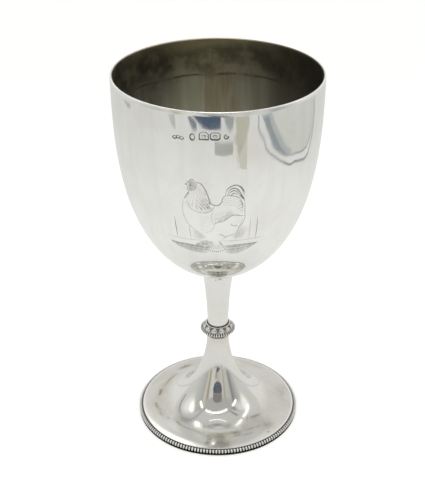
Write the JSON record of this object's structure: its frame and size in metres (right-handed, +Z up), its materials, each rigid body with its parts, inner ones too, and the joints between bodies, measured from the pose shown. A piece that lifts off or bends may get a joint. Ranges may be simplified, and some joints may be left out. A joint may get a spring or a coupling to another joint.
{
  "type": "trophy cup",
  "caption": "Silver prize goblet: deep U-shaped bowl with a plain lip, slim tapered stem with a small stamped and beaded knop, and a spreading trumpet foot with a beaded border.",
  "frame": {"origin": "centre of the base wire's underside, on the surface that the cup stands on", "axes": "+Z up along the cup's turning axis; -Y is the front, where the engraving is"},
  "size_m": [0.0858, 0.0858, 0.1658],
  "materials": {
    "bowl_silver": "polished silver, worn smooth, tarnished dark inside",
    "stem_silver": "polished silver",
    "stamped_silver": "stamped silver, dark in the hollows",
    "beaded_silver": "beaded silver wire, black tarnish between the beads",
    "foot_silver": "polished silver with fine scratches and brown tarnish spots",
    "base_silver": "plain silver wire, dull and tarnished"
  },
  "bodies": {
    "root": {"bowl": "bowl_silver", "upper_stem": "stem_silver", "knop_collar": "stamped_silver", "knop_bead_wire": "beaded_silver", "knop_under_collar": "stamped_silver", "foot": "foot_silver", "foot_bead_wire": "beaded_silver", "foot_base_wire": "base_silver"}
  },
  "joints": []
}
